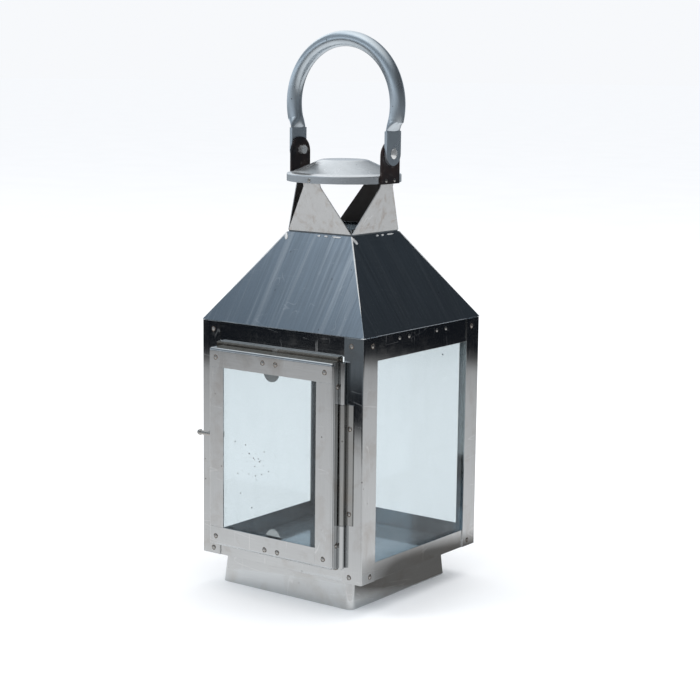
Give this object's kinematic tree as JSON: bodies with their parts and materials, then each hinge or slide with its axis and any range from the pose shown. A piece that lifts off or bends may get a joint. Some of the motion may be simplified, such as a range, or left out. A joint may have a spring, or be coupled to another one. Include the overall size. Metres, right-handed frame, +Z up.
{
  "type": "candle lantern",
  "caption": "Square glazed candle lantern of thin sheet steel with a hinged framed door and turning latch, hipped roof, open chimney, round cap and swinging bail handle.",
  "frame": {"origin": "on the surface the lantern stands on, under the middle of its whole width and depth, the door's thickness included", "axes": "+Z up; -Y to the front, out of the door's face; +X to the right seen from the front, where the door's hinge is"},
  "size_m": [0.1512, 0.1626, 0.4187],
  "materials": {
    "steel": "satin stainless sheet with faint stains",
    "glass": "clear float glass",
    "handle_aluminium": "satin bluish tube",
    "cap_aluminium": "satin spun cap",
    "strap_black": "near-black"
  },
  "bodies": {
    "lantern": {"plinth": "steel", "floor_plate": "steel", "post_front_left": "steel", "post_front_right": "steel", "post_back_right": "steel", "post_back_left": "steel", "top_rail_front": "steel", "top_rail_right": "steel", "top_rail_back": "steel", "top_rail_left": "steel", "bottom_rail_front": "steel", "bottom_rail_right": "steel", "bottom_rail_back": "steel", "bottom_rail_left": "steel", "frame_rivets": "steel", "window_glass_right": "glass", "window_glass_back": "glass", "window_glass_left": "glass", "window_clips_right": "steel", "window_clips_back": "steel", "window_clips_left": "steel", "window_clip_rivets": "steel", "roof_panel_front": "steel", "roof_panel_right": "steel", "roof_panel_back": "steel", "roof_panel_left": "steel", "neck_band": "steel", "chimney_petal_front": "steel", "chimney_petal_right": "steel", "chimney_petal_back": "steel", "chimney_petal_left": "steel", "cap": "cap_aluminium", "cap_rivets": "steel", "strap_rivets": "steel", "handle_strap_left": "strap_black", "handle_strap_right": "strap_black", "handle_pivot_left": "steel", "handle_pivot_right": "steel", "collar_top": "steel", "collar_bottom": "steel", "collar_left": "steel", "collar_right": "steel", "hinge_leaf_body": "steel", "hinge_rivets_body": "steel", "hinge_pin": "steel"},
    "door": {"door_top_rail": "steel", "door_bottom_rail": "steel", "door_left_stile": "steel", "door_right_stile": "steel", "door_glass": "glass", "door_clip_top": "steel", "door_clip_bottom": "steel", "door_clip_rivets": "steel", "door_corner_rivets": "steel", "hinge_leaf_door": "steel", "hinge_rivets_door": "steel"},
    "handle": {"handle": "handle_aluminium"},
    "latch": {"latch_rod": "steel", "latch_tongue": "steel"}
  },
  "joints": [
    {"name": "door_hinge", "type": "hinge", "parent": "lantern", "child": "door", "pos_m": [0.0589, -0.07195, 0.1105], "axis": [0, 0, 1], "range_deg": [0, 115]},
    {"name": "handle_pivot", "type": "hinge", "parent": "lantern", "child": "handle", "pos_m": [0, 0.00575, 0.3298], "axis": [1, 0, 0], "range_deg": [-120, 120]},
    {"name": "latch_turn", "type": "hinge", "parent": "door", "child": "latch", "pos_m": [-0.0592, -0.07685, 0.1195], "axis": [1, 0, 0], "range_deg": [0, 90]}
  ]
}
